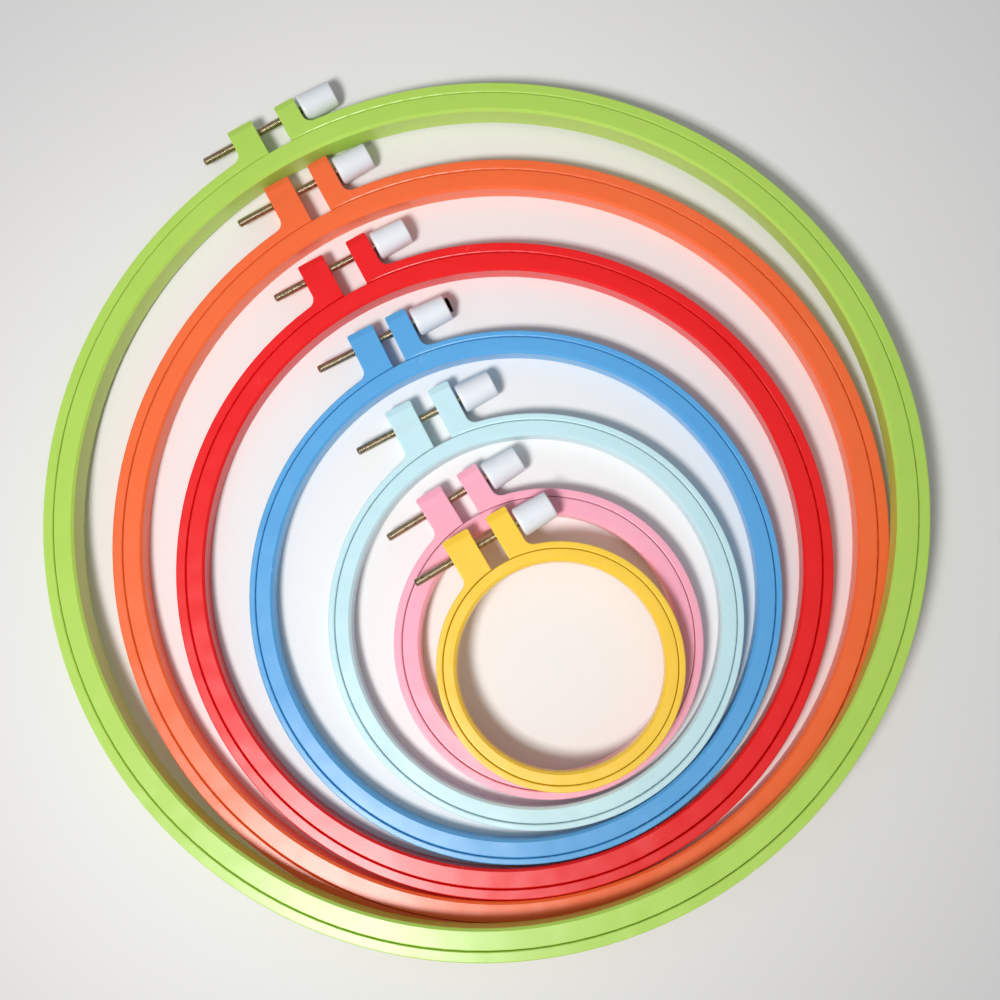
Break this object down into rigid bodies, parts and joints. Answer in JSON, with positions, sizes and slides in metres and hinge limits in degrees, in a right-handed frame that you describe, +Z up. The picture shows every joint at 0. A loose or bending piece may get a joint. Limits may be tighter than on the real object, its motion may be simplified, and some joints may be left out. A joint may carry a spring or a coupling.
{
  "type": "embroidery hoop set",
  "caption": "Round plastic embroidery hoops nested on a table, every hoop with a split outer ring, a closed inner ring and a screw clamp with a knob.",
  "frame": {"origin": "middle of the set's footprint, on the table", "axes": "+Z up from the table, +X to the right and +Y to the top of the picture, the clamps towards -X +Y"},
  "size_m": [0.3001, 0.304, 0.0214],
  "materials": {
    "green_plastic": "moulded, semi-gloss",
    "orange_plastic": "moulded, semi-gloss",
    "red_plastic": "moulded, semi-gloss",
    "blue_plastic": "moulded, semi-gloss",
    "pale_blue_plastic": "moulded, semi-gloss",
    "pink_plastic": "moulded, semi-gloss",
    "yellow_plastic": "moulded, semi-gloss",
    "knob_plastic": "moulded, semi-gloss white",
    "screw_metal": "dark bronze plating on a rolled thread",
    "insert_metal": "turned brass"
  },
  "bodies": {
    "orange_outer": {"orange_outer_ring": "orange_plastic", "orange_thread_insert": "insert_metal"},
    "orange_inner": {"orange_inner_ring": "orange_plastic"},
    "orange_screw": {"orange_clamp_screw": "screw_metal"},
    "orange_knob": {"orange_knob": "knob_plastic"},
    "green_outer": {"green_outer_ring": "green_plastic", "green_thread_insert": "insert_metal"},
    "green_inner": {"green_inner_ring": "green_plastic"},
    "green_screw": {"green_clamp_screw": "screw_metal"},
    "green_knob": {"green_knob": "knob_plastic"},
    "red_outer": {"red_outer_ring": "red_plastic", "red_thread_insert": "insert_metal"},
    "red_inner": {"red_inner_ring": "red_plastic"},
    "red_screw": {"red_clamp_screw": "screw_metal"},
    "red_knob": {"red_knob": "knob_plastic"},
    "blue_outer": {"blue_outer_ring": "blue_plastic", "blue_thread_insert": "insert_metal"},
    "blue_inner": {"blue_inner_ring": "blue_plastic"},
    "blue_screw": {"blue_clamp_screw": "screw_metal"},
    "blue_knob": {"blue_knob": "knob_plastic"},
    "pale_blue_outer": {"pale_blue_outer_ring": "pale_blue_plastic", "pale_blue_thread_insert": "insert_metal"},
    "pale_blue_inner": {"pale_blue_inner_ring": "pale_blue_plastic"},
    "pale_blue_screw": {"pale_blue_clamp_screw": "screw_metal"},
    "pale_blue_knob": {"pale_blue_knob": "knob_plastic"},
    "pink_outer": {"pink_outer_ring": "pink_plastic", "pink_thread_insert": "insert_metal"},
    "pink_inner": {"pink_inner_ring": "pink_plastic"},
    "pink_screw": {"pink_clamp_screw": "screw_metal"},
    "pink_knob": {"pink_knob": "knob_plastic"},
    "yellow_outer": {"yellow_outer_ring": "yellow_plastic", "yellow_thread_insert": "insert_metal"},
    "yellow_inner": {"yellow_inner_ring": "yellow_plastic"},
    "yellow_screw": {"yellow_clamp_screw": "screw_metal"},
    "yellow_knob": {"yellow_knob": "knob_plastic"}
  },
  "joints": [
    {"name": "orange_inner_ring_lift", "type": "slide", "parent": "orange_outer", "child": "orange_inner", "axis": [0, 0, 1], "range_m": [0, 0.012]},
    {"name": "orange_screw_travel", "type": "slide", "parent": "orange_outer", "child": "orange_screw", "axis": [0.878, 0.4787, 0], "range_m": [0, 0.004]},
    {"name": "orange_knob_turn", "type": "hinge", "parent": "orange_screw", "child": "orange_knob", "pos_m": [-0.05101, 0.11824, 0.00545], "axis": [0.878, 0.4787, 0], "range_deg": [0, 2880]},
    {"name": "green_hoop_lift", "type": "slide", "parent": "orange_inner", "child": "green_outer", "axis": [0, 0, 1], "range_m": [0, 0.02]},
    {"name": "green_inner_ring_lift", "type": "slide", "parent": "green_outer", "child": "green_inner", "axis": [-0.0178, 0.0321, 0.9993], "range_m": [0, 0.012]},
    {"name": "green_screw_travel", "type": "slide", "parent": "green_outer", "child": "green_screw", "axis": [0.8746, 0.4848, 0], "range_m": [0, 0.004]},
    {"name": "green_knob_turn", "type": "hinge", "parent": "green_screw", "child": "green_knob", "pos_m": [-0.06435, 0.14182, 0.0056], "axis": [0.8746, 0.4848, 0], "range_deg": [0, 2880]},
    {"name": "red_hoop_lift", "type": "slide", "parent": "orange_outer", "child": "red_outer", "axis": [0, 0, 1], "range_m": [0, 0.02]},
    {"name": "red_inner_ring_lift", "type": "slide", "parent": "red_outer", "child": "red_inner", "axis": [0, 0, 1], "range_m": [0, 0.012]},
    {"name": "red_screw_travel", "type": "slide", "parent": "red_outer", "child": "red_screw", "axis": [0.8821, 0.471, 0], "range_m": [0, 0.004]},
    {"name": "red_knob_turn", "type": "hinge", "parent": "red_screw", "child": "red_knob", "pos_m": [-0.03707, 0.09016, 0.00545], "axis": [0.8821, 0.471, 0], "range_deg": [0, 2880]},
    {"name": "blue_hoop_lift", "type": "slide", "parent": "orange_outer", "child": "blue_outer", "axis": [0, 0, 1], "range_m": [0, 0.02]},
    {"name": "blue_inner_ring_lift", "type": "slide", "parent": "blue_outer", "child": "blue_inner", "axis": [0, 0, 1], "range_m": [0, 0.012]},
    {"name": "blue_screw_travel", "type": "slide", "parent": "blue_outer", "child": "blue_screw", "axis": [0.8942, 0.4478, 0], "range_m": [0, 0.004]},
    {"name": "blue_knob_turn", "type": "hinge", "parent": "blue_screw", "child": "blue_knob", "pos_m": [-0.02268, 0.06212, 0.00545], "axis": [0.8942, 0.4478, 0], "range_deg": [0, 2880]},
    {"name": "pale_blue_hoop_lift", "type": "slide", "parent": "orange_outer", "child": "pale_blue_outer", "axis": [0, 0, 1], "range_m": [0, 0.02]},
    {"name": "pale_blue_inner_ring_lift", "type": "slide", "parent": "pale_blue_outer", "child": "pale_blue_inner", "axis": [0, 0, 1], "range_m": [0, 0.012]},
    {"name": "pale_blue_screw_travel", "type": "slide", "parent": "pale_blue_outer", "child": "pale_blue_screw", "axis": [0.887, 0.4617, 0], "range_m": [0, 0.004]},
    {"name": "pale_blue_knob_turn", "type": "hinge", "parent": "pale_blue_screw", "child": "pale_blue_knob", "pos_m": [-0.00648, 0.03439, 0.00545], "axis": [0.887, 0.4617, 0], "range_deg": [0, 2880]},
    {"name": "pink_hoop_lift", "type": "slide", "parent": "orange_outer", "child": "pink_outer", "axis": [0, 0, 1], "range_m": [0, 0.02]},
    {"name": "pink_inner_ring_lift", "type": "slide", "parent": "pink_outer", "child": "pink_inner", "axis": [0, 0, 1], "range_m": [0, 0.012]},
    {"name": "pink_screw_travel", "type": "slide", "parent": "pink_outer", "child": "pink_screw", "axis": [0.8508, 0.5255, 0], "range_m": [0, 0.004]},
    {"name": "pink_knob_turn", "type": "hinge", "parent": "pink_screw", "child": "pink_knob", "pos_m": [0.00309, 0.00677, 0.00545], "axis": [0.8508, 0.5255, 0], "range_deg": [0, 2880]},
    {"name": "yellow_hoop_lift", "type": "slide", "parent": "pink_inner", "child": "yellow_outer", "axis": [0, 0, 1], "range_m": [0, 0.02]},
    {"name": "yellow_inner_ring_lift", "type": "slide", "parent": "yellow_outer", "child": "yellow_inner", "axis": [0, 0, 1], "range_m": [0, 0.012]},
    {"name": "yellow_screw_travel", "type": "slide", "parent": "yellow_outer", "child": "yellow_screw", "axis": [0.8607, 0.509, 0], "range_m": [0, 0.004]},
    {"name": "yellow_knob_turn", "type": "hinge", "parent": "yellow_screw", "child": "yellow_knob", "pos_m": [0.01409, -0.01009, 0.01425], "axis": [0.8607, 0.509, 0], "range_deg": [0, 2880]}
  ],
  "couplings": [
    {"joint": "orange_knob_turn", "follows": "orange_screw_travel", "rad_per_m": 12566},
    {"joint": "green_knob_turn", "follows": "green_screw_travel", "rad_per_m": 12566},
    {"joint": "red_knob_turn", "follows": "red_screw_travel", "rad_per_m": 12566},
    {"joint": "blue_knob_turn", "follows": "blue_screw_travel", "rad_per_m": 12566},
    {"joint": "pale_blue_knob_turn", "follows": "pale_blue_screw_travel", "rad_per_m": 12566},
    {"joint": "pink_knob_turn", "follows": "pink_screw_travel", "rad_per_m": 12566},
    {"joint": "yellow_knob_turn", "follows": "yellow_screw_travel", "rad_per_m": 12566}
  ]
}
